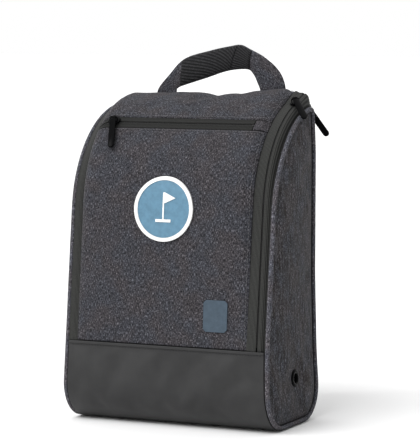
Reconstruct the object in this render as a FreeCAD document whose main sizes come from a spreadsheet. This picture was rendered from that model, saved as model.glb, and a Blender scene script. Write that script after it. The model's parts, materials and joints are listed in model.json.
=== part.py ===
import FreeCAD, Part
import math
import os
import Sketcher

# A golf shoe bag: a fabric wrap over the front, top and back, a vinyl base, two side panels,
# and a right side that zips open as a flap. Millimetres; X to the right seen from the front,
# the front faces -Y, Z up, and the origin is under the middle of the base.

SIZES = {
    "half_width": 121, "back_face": 67, "cloth": 2.4, "tape": 1.2, "gap": 0.4,
    # side profile: a leaning leg, a large shoulder arc, a tight corner and an upright back
    "shoulder_depth": 72.5, "shoulder_height": 229, "shoulder_radius": 124, "leg_lean": 6.23,
    "corner_radius": 8, "toe_radius": 42, "heel_radius": 40, "seam_height": 88,
    # the middle of the wrap is fuller than its edges
    "crown": 6, "crown_lean": 3.98, "crown_flat": 92, "panel_edge": 98.5, "back_seam": 325,
    "left_flat": 100, "left_edge": 106,
    # the side panels and their piping sag below the wrap along the top
    "side_drop": 9, "slope_start": 113,
    # bands and zips
    "band_edge": 115.2, "zip_middle": 109.5, "zip_gap": 1.6, "coil_width": 2.6, "coil_height": 1.5,
    "pocket_zip_angle": 48.9, "pocket_zip_half": 3.5, "pocket_zip_end": 82, "stop_height": 6,
    "piping_radius": 2.75, "piping_inset": 2.8, "side_inset": 6, "side_in": 117,
    # the zipped side stands further out than the plain one
    "right_out": 3,
    # eyelets
    "eyelet_depth": 3, "eyelet_height": 52, "eyelet_bore": 5, "eyelet_barrel": 6, "eyelet_rim": 9.5,
    # sliders and pulls
    "slider_width": 9, "slider_length": 13, "plate": 1.8, "bail_span": 8.6, "bail_wire": 1.2,
    "bar_height": 6.2, "pull_length": 42, "long_pull_length": 38, "pull_width": 6.8,
    "pull_thick": 2.2, "pull_bore": 1.05,
    "front_slider_angle": 73, "back_slider_height": 341, "pocket_slider_place": -86,
    "front_pull_turn": -52, "back_pull_turn": 50, "pocket_pull_turn": 14,
    "front_pull_tilt": 19, "back_pull_tilt": 5, "pocket_pull_tilt": 9,
    # badge, patch and board
    "badge_radius": 35, "badge_rim": 4, "badge_across": -4, "badge_height": 236,
    "patch_across": 61, "patch_height": 124, "patch_width": 28, "patch_tall": 34,
    "board_thick": 3,
    # carrying handle
    "handle_depth": 69.5, "handle_axis": 359, "handle_lean": 6, "handle_thick": 2.6,
    "mesh_thick": 2.2, "tab_drop": 28,
}

doc = FreeCAD.newDocument("golf_shoe_bag")
sheet = doc.addObject("Spreadsheet::Sheet", "Size")
for row, (name, value) in enumerate(SIZES.items(), 1):
    sheet.set(f"A{row}", name)
    sheet.set(f"B{row}", str(value))
    sheet.setAlias(f"B{row}", name)
doc.recompute()


def size(name):
    return float(sheet.get(name))


def number(expression):
    """The value of an expression, for a first guess that the sketch solver starts from."""
    return float(sheet.evalExpression(expression))


# ---------------------------------------------------------------- sketches and features

def new_body(label):
    body = doc.addObject("PartDesign::Body", label)
    body.Label = label
    return body


def new_sketch(body, role, lift="0"):
    """A sketch on one of the body's own planes, moved along the plane's normal by lift."""
    plane = next(o for o in body.Origin.OriginFeatures if o.Role == role)
    sketch = body.newObject("Sketcher::SketchObject", f"{body.Name}_sketch")
    sketch.AttachmentSupport = [(plane, "")]
    sketch.MapMode = "FlatFace"
    sketch.setExpression("AttachmentOffset.Base.z", lift)
    return sketch


def pin(sketch, edge, end, corner):
    """Fix one end of an edge at a pair of expressions, measured from the sketch's origin."""
    for kind, expression in zip(("DistanceX", "DistanceY"), corner):
        value = number(expression)
        if value < 0:
            index = sketch.addConstraint(Sketcher.Constraint(kind, edge, end, -1, 1, -value))
            sketch.setExpression(f"Constraints[{index}]", f"-({expression})")
        else:
            index = sketch.addConstraint(Sketcher.Constraint(kind, -1, 1, edge, end, value))
            sketch.setExpression(f"Constraints[{index}]", expression)


def arc_between(start, end, radius, turn):
    """The shorter arc from start to end, its centre left of the way there for turn 1."""
    chord = end - start
    reach = math.sqrt(max(radius ** 2 - (chord.Length / 2) ** 2, 0))
    left = FreeCAD.Vector(-chord.y, chord.x, 0).normalize()
    centre = (start + end) * 0.5 + left * (reach * turn)
    ends = [math.atan2((p - centre).y, (p - centre).x) for p in (start, end)]
    if turn < 0:
        ends.reverse()
    return Part.ArcOfCircle(Part.Circle(centre, FreeCAD.Vector(0, 0, 1), radius), *ends)


def draw(sketch, corners, closed=True):
    """Join corners of (across, up) expressions. A corner of (across, up, radius, turn) starts
    an arc instead of a line."""
    count = len(corners)
    edges = []
    for index in range(count if closed else count - 1):
        here, there = corners[index], corners[(index + 1) % count]
        start, end = (FreeCAD.Vector(number(c[0]), number(c[1]), 0) for c in (here, there))
        curved = len(here) == 4
        if curved:
            shape = arc_between(start, end, number(here[2]), here[3])
        else:
            shape = Part.LineSegment(start, end)
        edge = sketch.addGeometry(shape)
        # an arc runs counter-clockwise, so one that turns right starts at its second end
        flipped = curved and here[3] < 0
        edges.append((edge, 2 if flipped else 1, 1 if flipped else 2))
        pin(sketch, edge, edges[-1][1], here[:2])
        if curved:
            limit = sketch.addConstraint(Sketcher.Constraint("Radius", edge, number(here[2])))
            sketch.setExpression(f"Constraints[{limit}]", here[2])
    for (edge, _, end), (after, start, _) in zip(edges, edges[1:] + edges[:1]):
        if closed or after != edges[0][0]:
            sketch.addConstraint(Sketcher.Constraint("Coincident", edge, end, after, start))
    if not closed:
        pin(sketch, edges[-1][0], edges[-1][2], corners[-1][:2])
    return sketch


def ring(sketch, across, up, radius):
    """A circle about (across, up)."""
    centre = FreeCAD.Vector(number(across), number(up), 0)
    edge = sketch.addGeometry(Part.Circle(centre, FreeCAD.Vector(0, 0, 1), number(radius)))
    pin(sketch, edge, 3, (across, up))
    limit = sketch.addConstraint(Sketcher.Constraint("Radius", edge, number(radius)))
    sketch.setExpression(f"Constraints[{limit}]", radius)


def pad(sketch, length, midplane=False):
    feature = sketch.getParentGeoFeatureGroup().newObject("PartDesign::Pad", "pad")
    feature.Profile = sketch
    feature.setExpression("Length", length)
    feature.SideType = "Symmetric" if midplane else "One side"
    sketch.Visibility = False
    return feature


def pocket(sketch):
    feature = sketch.getParentGeoFeatureGroup().newObject("PartDesign::Pocket", "pocket")
    feature.Profile = sketch
    feature.Type = "ThroughAll"
    feature.SideType = "Symmetric"
    return feature


def slab(label, low, high, outline, holes=()):
    """A plate between two X values, its outline drawn in the YZ plane, with round holes."""
    body = new_body(label)
    sketch = draw(new_sketch(body, "YZ_Plane", low), outline)
    for hole in holes:
        ring(sketch, *hole)
    pad(sketch, f"({high}) - ({low})")
    return body


def block(label, *spans):
    """A Part::Box between (low, high) expressions on X, Y and Z."""
    box = doc.addObject("Part::Box", label)
    box.Label = label
    for axis, side, (low, high) in zip("xyz", ("Length", "Width", "Height"), spans):
        box.setExpression(f"Placement.Base.{axis}", low)
        box.setExpression(side, f"({high}) - ({low})")
    return box


# ---------------------------------------------------------------- the side profile

# A profile is its shoulder's radius, the lean of its leg, and the height of the arc's middle.
RADIUS, LEAN, MIDDLE = "Size.shoulder_radius", "Size.leg_lean", "Size.shoulder_height"
FULL = ("(Size.shoulder_radius + Size.crown)", "Size.crown_lean", MIDDLE)
EDGE = (RADIUS, LEAN, MIDDLE)
SIDE = (f"({RADIUS} + Size.side_drop * sin({LEAN}))", LEAN, f"({MIDDLE} - Size.side_drop)")


def leg(profile, inset, height):
    """The point of the leaning front leg at a height."""
    radius, lean, middle = profile
    across = (f"Size.shoulder_depth - ({radius} - ({inset})) / cos({lean})"
              f" - ({middle} - ({height})) * tan({lean})")
    return across, height


def shoulder(profile, inset, angle):
    """The point of the shoulder arc at an angle above the horizontal."""
    reach = f"({profile[0]} - ({inset}))"
    return (f"Size.shoulder_depth - {reach} * cos({angle})",
            f"{profile[2]} + {reach} * sin({angle})")


def corner_middle(profile):
    """The centre of the tight corner, which touches the shoulder arc and the back."""
    across = "(Size.back_face - Size.corner_radius)"
    reach = f"({profile[0]} - Size.corner_radius)"
    rise = f"sqrt({reach}^2 - ({across} - Size.shoulder_depth)^2)"
    return across, f"({profile[2]} + {rise})", reach


def corner_start(profile, inset):
    across, up, reach = corner_middle(profile)
    part = f"({profile[0]} - ({inset})) / {reach}"
    return (f"Size.shoulder_depth + ({across} - Size.shoulder_depth) * {part}",
            f"{profile[2]} + ({up} - {profile[2]}) * {part}")


def over_the_top(profile, inset, foot, tail):
    """Corners of the whole way from the front leg over the top and down the back."""
    radius = f"{profile[0]} - ({inset})"
    back = f"Size.back_face - ({inset})"
    return [leg(profile, inset, foot),
            shoulder(profile, inset, profile[1]) + (radius, -1),
            corner_start(profile, inset) + (f"Size.corner_radius - ({inset})", -1),
            (back, corner_middle(profile)[1]),
            (back, tail)]


def around_the_base(inset, height):
    """Corners of the way from the front leg under the base and up the back."""
    lean, toe, heel = LEAN, "Size.toe_radius", "Size.heel_radius"
    foot = leg(EDGE, "0", f"{toe} * (1 + sin({lean}))")[0]
    middle = f"({foot} + {toe} * cos({lean}))"
    inner = f"({toe} - ({inset}))"
    return [leg(EDGE, inset, height),
            (f"{middle} - {inner} * cos({lean})", f"{toe} + {inner} * sin({lean})", inner, 1),
            (middle, inset),
            (f"Size.back_face - {heel}", inset, f"{heel} - ({inset})", 1),
            (f"Size.back_face - ({inset})", heel),
            (f"Size.back_face - ({inset})", height)]


def backwards(way):
    """The same way walked the other way, so that each arc starts at its other end."""
    turned = []
    for index in range(len(way) - 1, -1, -1):
        before = way[index - 1] if index else ()
        arc = (before[2], -before[3]) if len(before) == 4 else ()
        turned.append(way[index][:2] + arc)
    return turned


def between(outer, inner):
    """The closed outline of the cloth between two ways."""
    return outer + backwards(inner)


def whole_side(inset):
    """The closed outline of a side panel."""
    over = over_the_top(SIDE, inset, "Size.seam_height", "Size.seam_height")
    return over[:-1] + backwards(around_the_base(inset, "Size.seam_height"))[1:-1]


def shoulder_band(profile, outer, inner, low, high):
    """The closed outline of a stretch of the shoulder arc."""
    radii = [f"{profile[0]} - ({inset})" for inset in (outer, inner)]
    return [shoulder(profile, outer, low) + (radii[0], -1), shoulder(profile, outer, high),
            shoulder(profile, inner, high) + (radii[1], 1), shoulder(profile, inner, low)]


def front_outline(profile, outer, inner, foot, high):
    """The closed outline of the leg and the shoulder arc up to an angle."""
    way = [[leg(profile, inset, foot),
            shoulder(profile, inset, profile[1]) + (f"{profile[0]} - ({inset})", -1),
            shoulder(profile, inset, high)] for inset in (outer, inner)]
    return between(*way)


def top_outline(profile, outer, inner, low, tail):
    """The closed outline of the shoulder arc from an angle, over the corner, down the back."""
    ways = []
    for inset in (outer, inner):
        rest = over_the_top(profile, inset, "Size.seam_height", tail)[2:]
        start = shoulder(profile, inset, low) + (f"{profile[0]} - ({inset})", -1)
        ways.append([start] + rest)
    return between(*ways)


def ruled(label, outline, places):
    """A ruled skin through one outline drawn on the profile at each (place, profile)."""
    body = new_body(label)
    sketches = [draw(new_sketch(body, "YZ_Plane", place), outline(profile))
                for place, profile in places]
    loft = body.newObject("PartDesign::AdditiveLoft", "loft")
    loft.Profile = sketches[0]
    loft.Sections = sketches[1:]
    loft.Ruled = True


def crowned(label, outline, right="Size.panel_edge"):
    """A panel that is full in the middle and falls to the edge profile at its sides."""
    places = [("-Size.left_edge", EDGE), ("-Size.left_flat", FULL)]
    if number(right) < number("Size.crown_flat"):
        places += [(right, FULL)]
    else:
        places += [("Size.crown_flat", FULL), (right, EDGE)]
    ruled(label, outline, places)


# ---------------------------------------------------------------- panels, bands and piping

ZIP_LOW = "(Size.pocket_zip_angle - Size.pocket_zip_half)"
ZIP_HIGH = "(Size.pocket_zip_angle + Size.pocket_zip_half)"
ROOT_TOP = "(Size.seam_height - 2 * Size.gap)"
RIGHT_EDGE = "(Size.band_edge + Size.right_out)"
RIGHT_IN = "(Size.side_in + Size.right_out)"
FLAP_FOOT = "(Size.seam_height + 2 * Size.gap)"


def panels():
    cloth = "Size.cloth"
    crowned("front_panel", lambda p: front_outline(p, "0", cloth, FLAP_FOOT, ZIP_LOW))
    crowned("top_panel", lambda p: top_outline(p, "0", cloth, ZIP_HIGH, "Size.back_seam"))
    block("back_panel", ("-Size.left_edge", "Size.panel_edge"),
          ("Size.back_face - Size.cloth", "Size.back_face"), (FLAP_FOOT, "Size.back_seam - Size.gap"))
    slab("vinyl_base", "-Size.band_edge", RIGHT_EDGE,
         between(around_the_base("0", ROOT_TOP), around_the_base(cloth, ROOT_TOP)))
    welt = [[leg(EDGE, inset, "Size.seam_height - 4.5"), leg(EDGE, inset, "Size.seam_height - 1")]
            for inset in ("-0.9", "0")]
    slab("vinyl_welt", "-Size.band_edge", RIGHT_EDGE, between(*welt))
    hole = ("Size.eyelet_depth", "Size.eyelet_height", "Size.eyelet_barrel + 0.1")
    slab("left_side_panel", "-(Size.side_in + Size.cloth)", "-Size.side_in",
         whole_side("Size.side_inset"), [hole])
    outer = f"{RIGHT_IN} + Size.cloth"
    low = around_the_base("Size.side_inset", ROOT_TOP)
    slab("right_side_base_panel", RIGHT_IN, outer, low, [hole])
    high = over_the_top(SIDE, "Size.side_inset", FLAP_FOOT, FLAP_FOOT)
    slab("flap_panel", RIGHT_IN, outer, high)


def linings():
    """Thin cloth inside: the pocket's inner wall, the back, the left side and the flap."""
    thin = ("Size.cloth + Size.gap", "Size.cloth + Size.gap + 0.8")
    crowned("pocket_inner_wall",
            lambda p: front_outline(p, *thin, "Size.seam_height + 4", f"{ZIP_LOW} - 2"))
    block("back_lining", ("-Size.left_edge", "Size.panel_edge"),
          (f"Size.back_face - ({thin[1]})", f"Size.back_face - ({thin[0]})"),
          ("Size.seam_height + 4", "Size.back_seam - 4"))
    slab("left_lining", "-(Size.side_in - Size.gap)", "-(Size.side_in - Size.gap - 0.8)",
         over_the_top(SIDE, "7", "Size.seam_height - 20", "Size.seam_height - 20"))
    slab("flap_lining", f"{RIGHT_IN} - Size.gap - 0.8", f"{RIGHT_IN} - Size.gap",
         over_the_top(SIDE, "7", "Size.seam_height + 4", "Size.seam_height + 4"))
    block("base_board", ("-Size.panel_edge", "Size.panel_edge"),
          ("-(Size.heel_radius) + 12", "Size.back_face - Size.heel_radius"),
          ("Size.cloth + Size.gap", "Size.cloth + Size.gap + Size.board_thick"))


def tape_outline(profile):
    """The closed outline of a tape that runs the whole way over the bag."""
    return between(*[over_the_top(profile, inset, FLAP_FOOT, FLAP_FOOT)
                     for inset in ("0", "Size.tape")])


def zip_half(name, places, coil_low, coil_high):
    """Half of the main zip: a woven tape, the coil under its free edge, and its stops."""
    foot, deep = FLAP_FOOT, ("Size.tape + 0.05", "Size.tape + Size.coil_height")
    ruled(f"{name}_zip_tape", tape_outline, places)
    under = [over_the_top(EDGE, inset, f"{foot} + Size.stop_height", f"{foot} + Size.stop_height")
             for inset in deep]
    slab(f"{name}_zip_coil", coil_low, coil_high, between(*under))
    front = between(*[[leg(EDGE, inset, foot), leg(EDGE, inset, f"{foot} + Size.stop_height - 1")]
                      for inset in deep])
    slab(f"{name}_zip_front_stop", coil_low, coil_high, front)
    block(f"{name}_zip_back_stop", (coil_low, coil_high),
          ("Size.back_face - Size.tape - Size.coil_height", "Size.back_face - Size.tape - 0.05"),
          (foot, f"{foot} + Size.stop_height - 1"))


def main_zip():
    left, right = "Size.zip_middle - Size.zip_gap / 2", "Size.zip_middle + Size.zip_gap / 2"
    zip_half("body", [("Size.panel_edge + 0.1", EDGE), (left, EDGE)],
             f"{left} - Size.coil_width", left)
    zip_half("flap", [(right, EDGE), ("Size.slope_start", EDGE), (RIGHT_EDGE, SIDE)],
             right, f"{right} + Size.coil_width")


def left_band():
    ruled("left_trim_band", tape_outline,
          [("-Size.band_edge", SIDE), ("-(Size.left_edge + 0.1)", EDGE)])


def piping(label, side, way, closed=False):
    """A cord covered in cloth, swept along a way, with its seam inside the corner."""
    body = new_body(label)
    middle = "Size.half_width - Size.piping_radius"
    middle = f"{middle} + Size.right_out" if side > 0 else f"-({middle})"
    path = draw(new_sketch(body, "YZ_Plane", middle), way, closed)
    section = new_sketch(body, "XY_Plane", way[0][1])
    ring(section, middle, way[0][0], "Size.piping_radius")
    doc.recompute()
    pipe = body.newObject("PartDesign::AdditivePipe", "pipe")
    pipe.Profile = section
    count = len(path.Shape.Edges)
    pipe.Spine = (path, [f"Edge{index + 1}" for index in range(count)])
    pipe.Transition = "Transformed"


def all_piping():
    inset = "Size.piping_inset"
    piping("flap_piping", 1, over_the_top(SIDE, inset, FLAP_FOOT, FLAP_FOOT))
    piping("right_base_piping", 1, around_the_base(inset, ROOT_TOP))
    loop = over_the_top(SIDE, inset, "Size.seam_height", "Size.seam_height")
    base = backwards(around_the_base(inset, "Size.seam_height"))
    piping("left_piping", -1, loop[:-1] + base[1:-1], closed=True)


def pocket_zip():
    """A zip across the shoulder: two tapes, two coils, end stops and a cloth end patch."""
    middle, half = "Size.pocket_zip_angle", "Size.pocket_zip_half"
    slot = 0.36
    for name, low, high, coil_low, coil_high in (
            ("lower", f"{middle} - {half} + 0.1", f"{middle} - {slot}",
             f"{middle} - {slot} - 1.2", f"{middle} - {slot}"),
            ("upper", f"{middle} + {slot}", f"{middle} + {half} - 0.1",
             f"{middle} + {slot}", f"{middle} + {slot} + 1.2")):
        crowned(f"pocket_zip_{name}_tape", lambda p, low=low, high=high:
                shoulder_band(p, "0", "Size.tape", low, high), right="Size.pocket_zip_end")
        slab(f"pocket_zip_{name}_coil", "-Size.left_flat", "Size.pocket_zip_end - 3",
             shoulder_band(FULL, "Size.tape + 0.05", "Size.tape + Size.coil_height",
                           coil_low, coil_high))
    slab("pocket_zip_stop", "Size.pocket_zip_end - 2.6", "Size.pocket_zip_end",
         shoulder_band(FULL, "Size.tape + 0.05", "Size.tape + Size.coil_height",
                       f"{middle} - 1.5", f"{middle} + 1.5"))
    ruled("pocket_zip_end_patch",
          lambda p: shoulder_band(p, "0", "Size.cloth", f"{ZIP_LOW} + 0.1", f"{ZIP_HIGH} - 0.1"),
          [("Size.pocket_zip_end + 0.3", FULL), ("Size.crown_flat", FULL),
           ("Size.panel_edge", EDGE)])


# ---------------------------------------------------------------- hardware

def turned(body, outline):
    """A revolution about X of an outline of (across, from the axis)."""
    sketch = draw(new_sketch(body, "XZ_Plane"), outline)
    turn = body.newObject("PartDesign::Revolution", "turn")
    turn.Profile = sketch
    turn.ReferenceAxis = (sketch, ["H_Axis"])
    turn.Angle = 360
    return turn


def eyelet(name, side):
    """A two-part eyelet: a barrel with a domed rim outside, and a washer inside."""
    bore, barrel, rim = "Size.eyelet_bore", "Size.eyelet_barrel", "Size.eyelet_rim"
    face = "Size.side_in + Size.cloth"
    shank = new_body(f"{name}_eyelet")
    turned(shank, [(f"{face} - 5", bore), (f"{face} + 0.9", bore), (f"{face} + 1.4", f"{bore} + 0.6"),
                   (f"{face} + 1.4", f"{rim} - 1.2"), (f"{face} + 0.1", rim),
                   (f"{face} + 0.05", barrel), (f"{face} - 5", barrel)])
    washer = new_body(f"{name}_eyelet_washer")
    back = "Size.side_in - 0.1"
    turned(washer, [(f"{back} - 1", f"{barrel} + 0.05"), (back, f"{barrel} + 0.05"),
                    (back, f"{rim} - 0.5"), (f"{back} - 1", f"{rim} - 0.5")])
    out = size("right_out") if side > 0 else 0
    place = FreeCAD.Vector(out, size("eyelet_depth"), size("eyelet_height"))
    turn = FreeCAD.Rotation(FreeCAD.Vector(0, 0, 1), 0 if side > 0 else 180)
    for body in (shank, washer):
        body.Placement = FreeCAD.Placement(place, turn)


def slider_frame(kind):
    """Where a slider sits: its X across the zip, Y along it and Z out of the cloth."""
    about_x = FreeCAD.Vector(1, 0, 0)
    about_z = FreeCAD.Vector(0, 0, 1)
    if kind == "back":
        place = FreeCAD.Vector(size("zip_middle"), size("back_face"), size("back_slider_height"))
        return FreeCAD.Placement(place, FreeCAD.Rotation(about_x, -90))
    angle = size("front_slider_angle" if kind == "front" else "pocket_zip_angle")
    profile = EDGE if kind == "front" else FULL
    across = size("zip_middle" if kind == "front" else "pocket_slider_place")
    depth, height = (number(e) for e in shoulder(profile, "0", str(angle)))
    turn = FreeCAD.Rotation(about_x, 90 - angle)
    if kind == "pocket":
        turn = turn.multiply(FreeCAD.Rotation(about_z, -90))
    return FreeCAD.Placement(FreeCAD.Vector(across, depth, height), turn)


def rounded(width, length, cut):
    """A rectangle about the origin with its four corners cut off."""
    x, y = f"({width}) / 2", f"({length}) / 2"
    corners = []
    for right, up in ((1, 1), (-1, 1), (-1, -1), (1, -1)):
        side = (f"{right} * {x}", f"{up} * ({y} - {cut})")
        end = (f"{right} * ({x} - {cut})", f"{up} * {y}")
        corners += [side, end] if right * up > 0 else [end, side]
    return corners


def slider(kind):
    """A slider body, the wire bail on it and the pull that hangs from the bail."""
    frame = slider_frame(kind)
    body = new_body(f"{kind}_slider")
    under = "Size.tape + Size.coil_height + Size.gap"
    outline = rounded("Size.slider_width", "Size.slider_length", "2")
    pad(draw(new_sketch(body, "XY_Plane", "Size.gap"), outline), "Size.plate")
    post = rounded("Size.zip_gap / 2", "Size.slider_length - 4", "0.1")
    pad(draw(new_sketch(body, "XY_Plane", f"-({under}) - 0.4"), post), f"{under} + Size.gap + 0.8")
    lower = rounded("Size.slider_width", "Size.slider_length - 4", "2")
    pad(draw(new_sketch(body, "XY_Plane", f"-({under}) - 1.4"), lower), "1.4")
    body.Placement = frame

    swing = frame.multiply(FreeCAD.Placement(
        FreeCAD.Vector(), FreeCAD.Rotation(FreeCAD.Vector(0, 0, 1), size(f"{kind}_pull_turn"))))
    bail = new_body(f"{kind}_slider_bail")
    foot, top = "Size.plate + Size.gap", "Size.bar_height + Size.bail_wire / 2"
    out, window = "Size.bail_span / 2", "(Size.bail_span / 2 - Size.bail_wire)"
    sill = "Size.bar_height - Size.bail_wire / 2"
    staple = [(f"-{out}", foot), (f"-{window}", foot), (f"-{window}", sill), (window, sill),
              (window, foot), (out, foot), (out, f"{top} - 0.5"), (f"{out} - 0.5", top),
              (f"0.5 - {out}", top), (f"-{out}", f"{top} - 0.5")]
    pad(draw(new_sketch(bail, "YZ_Plane"), staple), "Size.bail_wire", midplane=True)
    bail.Placement = swing

    pull = new_body(f"{kind}_pull")
    neck, half = "(Size.bail_span / 2 - Size.bail_wire - 0.5)", "Size.pull_width / 2"
    length = "Size.pull_length" if kind == "pocket" else "Size.long_pull_length"
    tip = f"({length} - {half})"
    plan = [("0", f"-{neck}"), ("3.4", f"-{neck}"), ("4.4", f"-{half}"),
            (tip, f"-{half}", half, 1), (length, "0", half, 1),
            (tip, half), ("4.4", half), ("3.4", neck), ("0", neck)]
    pad(draw(new_sketch(pull, "XY_Plane"), plan), "Size.pull_thick", midplane=True)
    barrel = new_sketch(pull, "XZ_Plane")
    ring(barrel, "0", "0", "Size.pull_bore + 0.9")
    pad(barrel, f"2 * {neck}", midplane=True)
    eye = new_sketch(pull, "XZ_Plane")
    ring(eye, "0", "0", "Size.pull_bore")
    pocket(eye)
    pull.Placement = swing.multiply(FreeCAD.Placement(
        FreeCAD.Vector(0, 0, size("bar_height")),
        FreeCAD.Rotation(FreeCAD.Vector(0, 1, 0), size(f"{kind}_pull_tilt"))))


# ---------------------------------------------------------------- badge and patch

def on_the_front(label, lift, thick, half_across, across, window, hole=None):
    """A piece that follows the full front: a strip of cloth cut to a window's outline."""
    body = new_body(label)
    strip = front_outline(FULL, f"-({lift} + {thick})", f"-({lift})", "Size.seam_height + 10", "35")
    low = f"({across}) - ({half_across}) - 1"
    pad(draw(new_sketch(body, "YZ_Plane", low), strip), f"2 * ({half_across}) + 2")
    cut = new_sketch(body, "XZ_Plane")
    far = [(f"{x} * 200", z) for x, z in ((-1, "50"), (1, "50"), (1, "400"), (-1, "400"))]
    draw(cut, far)
    window(cut)
    pocket(cut)
    if hole:
        inner = new_sketch(body, "XZ_Plane")
        ring(inner, *hole)
        pocket(inner)
    return body


def badge():
    """A round badge: a raised rim, a disc and a plain flag and ball."""
    across, up, radius = "Size.badge_across", "Size.badge_height", "Size.badge_radius"
    inside = f"{radius} - Size.badge_rim"
    on_the_front("badge_rim", "0.05", "1.9", radius, across,
                 lambda s: ring(s, across, up, radius), (across, up, inside))
    on_the_front("badge_disc", "0.05", "1.2", inside, across,
                 lambda s: ring(s, across, up, f"{inside} - 0.1"))
    motif = [(-9, -14), (9, -14), (9, -11), (0.8, -11), (0.8, 6), (14, 12), (0.8, 18),
             (-0.8, 18), (-0.8, -11), (-9, -11)]
    points = [(f"{across} + {x}", f"{up} + {z}") for x, z in motif]
    on_the_front("badge_motif", "1.3", "0.6", "20", across, lambda s: draw(s, points))


def patch():
    """A small plain rectangular patch low on the front."""
    across, up = "Size.patch_across", "Size.patch_height"
    corners = [(f"{across} + {x}", f"{up} + {z}")
               for x, z in rounded("Size.patch_width", "Size.patch_tall", "3")]
    on_the_front("front_patch", "0.05", "1.1", "Size.patch_width / 2", across,
                 lambda s: draw(s, corners))


# ---------------------------------------------------------------- handle

# Corners of (across, above the hinge line). The strap stands on edge, its broad face forward,
# and slumps to the left, so its two legs differ.
STRAP_OUTER = [(-74, 0.5), (-42, 36), (-10, 45), (25, 52), (55, 38), (74, 24), (84, 0.5)]
STRAP_INNER = [(54, 0.5), (41, 24), (16, 24), (-46, 3.5), (-50, 0.5)]
MESH = [(-43, 33.5), (-9, 43), (24, 50), (34, 46.5), (40.5, 25.5), (15.5, 25.5), (-45.5, 5.5)]


def handle_plate(label, corners, lift, thick):
    """A flat piece of the handle in the strap's own plane, leaning back about the hinge."""
    body = new_body(label)
    outline = [(str(x), str(z)) for x, z in corners]
    pad(draw(new_sketch(body, "XZ_Plane", lift), outline), thick)
    lean = FreeCAD.Rotation(FreeCAD.Vector(1, 0, 0), -size("handle_lean"))
    place = FreeCAD.Vector(0, size("handle_depth"), size("handle_axis"))
    body.Placement = FreeCAD.Placement(place, lean)


def handle():
    """A strap, the mesh pad on its front face, and the two ends sewn down the back."""
    handle_plate("handle_strap", STRAP_OUTER + STRAP_INNER, "-Size.handle_thick / 2",
                 "Size.handle_thick")
    handle_plate("handle_mesh", MESH, "Size.handle_thick / 2 + 0.1", "Size.mesh_thick")
    for name, low, high in (("left", STRAP_OUTER[0][0], STRAP_INNER[-1][0]),
                            ("right", STRAP_INNER[0][0], STRAP_OUTER[-1][0])):
        block(f"{name}_handle_tab", (str(low), str(high)),
              ("Size.back_face + 0.05", "Size.back_face + 0.05 + Size.handle_thick"),
              ("Size.handle_axis - Size.tab_drop", "Size.handle_axis - 2"))


panels()
linings()
main_zip()
left_band()
all_piping()
pocket_zip()
eyelet("left", -1)
eyelet("right", 1)
slider("front")
slider("back")
slider("pocket")
badge()
patch()
handle()
doc.recompute()

os.makedirs("parts", exist_ok=True)
for obj in doc.Objects:
    if obj.isDerivedFrom("PartDesign::Body") or obj.TypeId in ("Part::Box", "Part::Feature"):
        if obj.getParentGeoFeatureGroup() is None:
            wrong = {"Invalid", "Error"} & set(obj.State)
            if wrong or obj.Shape.isNull() or not obj.Shape.isValid():
                raise ValueError(f"{obj.Label} is not a good solid: {obj.State}")
            obj.Shape.exportStep(f"parts/{obj.Label}.step")
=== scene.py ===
"""The looks of a golf shoe bag: sewn cloth, vinyl, zips, piping and a padded handle, built around
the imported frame. Lengths are metres; X to the right, the front faces -Y, Z up."""
import json
import math

import bmesh
import bpy
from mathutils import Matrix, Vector, noise


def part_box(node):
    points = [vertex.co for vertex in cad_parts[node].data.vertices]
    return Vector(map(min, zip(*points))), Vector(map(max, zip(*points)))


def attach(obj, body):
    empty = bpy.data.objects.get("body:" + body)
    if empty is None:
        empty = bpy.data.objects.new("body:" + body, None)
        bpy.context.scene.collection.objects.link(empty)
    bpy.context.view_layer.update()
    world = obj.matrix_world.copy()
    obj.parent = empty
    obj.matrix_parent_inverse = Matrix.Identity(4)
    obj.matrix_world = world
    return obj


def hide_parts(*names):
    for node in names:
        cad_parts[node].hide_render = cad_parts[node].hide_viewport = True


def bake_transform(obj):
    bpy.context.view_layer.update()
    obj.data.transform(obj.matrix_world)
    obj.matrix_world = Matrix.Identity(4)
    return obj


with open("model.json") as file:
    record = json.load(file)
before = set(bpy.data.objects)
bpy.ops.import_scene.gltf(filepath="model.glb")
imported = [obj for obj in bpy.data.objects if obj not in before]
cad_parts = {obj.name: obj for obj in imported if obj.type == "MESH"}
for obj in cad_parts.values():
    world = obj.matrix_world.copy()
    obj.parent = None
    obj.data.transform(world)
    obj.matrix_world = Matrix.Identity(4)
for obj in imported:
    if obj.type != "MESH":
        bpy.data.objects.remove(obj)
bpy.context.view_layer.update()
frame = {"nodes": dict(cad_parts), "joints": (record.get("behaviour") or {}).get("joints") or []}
MM = 0.001
JOINTS = {joint["name"]: joint for joint in frame["joints"]}

# ---- places taken from the frame
def node_middle(name):
    low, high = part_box(name)
    return (low + high) / 2


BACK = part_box("back_panel")[1].y
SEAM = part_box("front_panel")[0].z
BASE_TOP = SEAM - 0.1 * MM
PANEL_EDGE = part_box("front_panel")[1].x
LEFT_EDGE = -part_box("front_panel")[0].x
BAND_EDGE = {-1: -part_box("left_trim_band")[0].x, 1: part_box("flap_zip_tape")[1].x}
SIDE_OUT = {-1: -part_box("left_side_panel")[0].x, 1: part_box("flap_panel")[1].x}
PIPING_OUT = {-1: -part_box("left_piping")[0].x, 1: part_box("flap_piping")[1].x}
BACK_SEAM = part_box("back_panel")[1].z
ZIP_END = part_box("pocket_zip_lower_tape")[1].x
ZIP_MIDDLE, CENTRE_Y, CENTRE_Z = JOINTS["front_slider_travel"]["pos_m"]
HANDLE = Vector(JOINTS["handle_swing"]["pos_m"])
EYELET = node_middle("right_eyelet")

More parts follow.
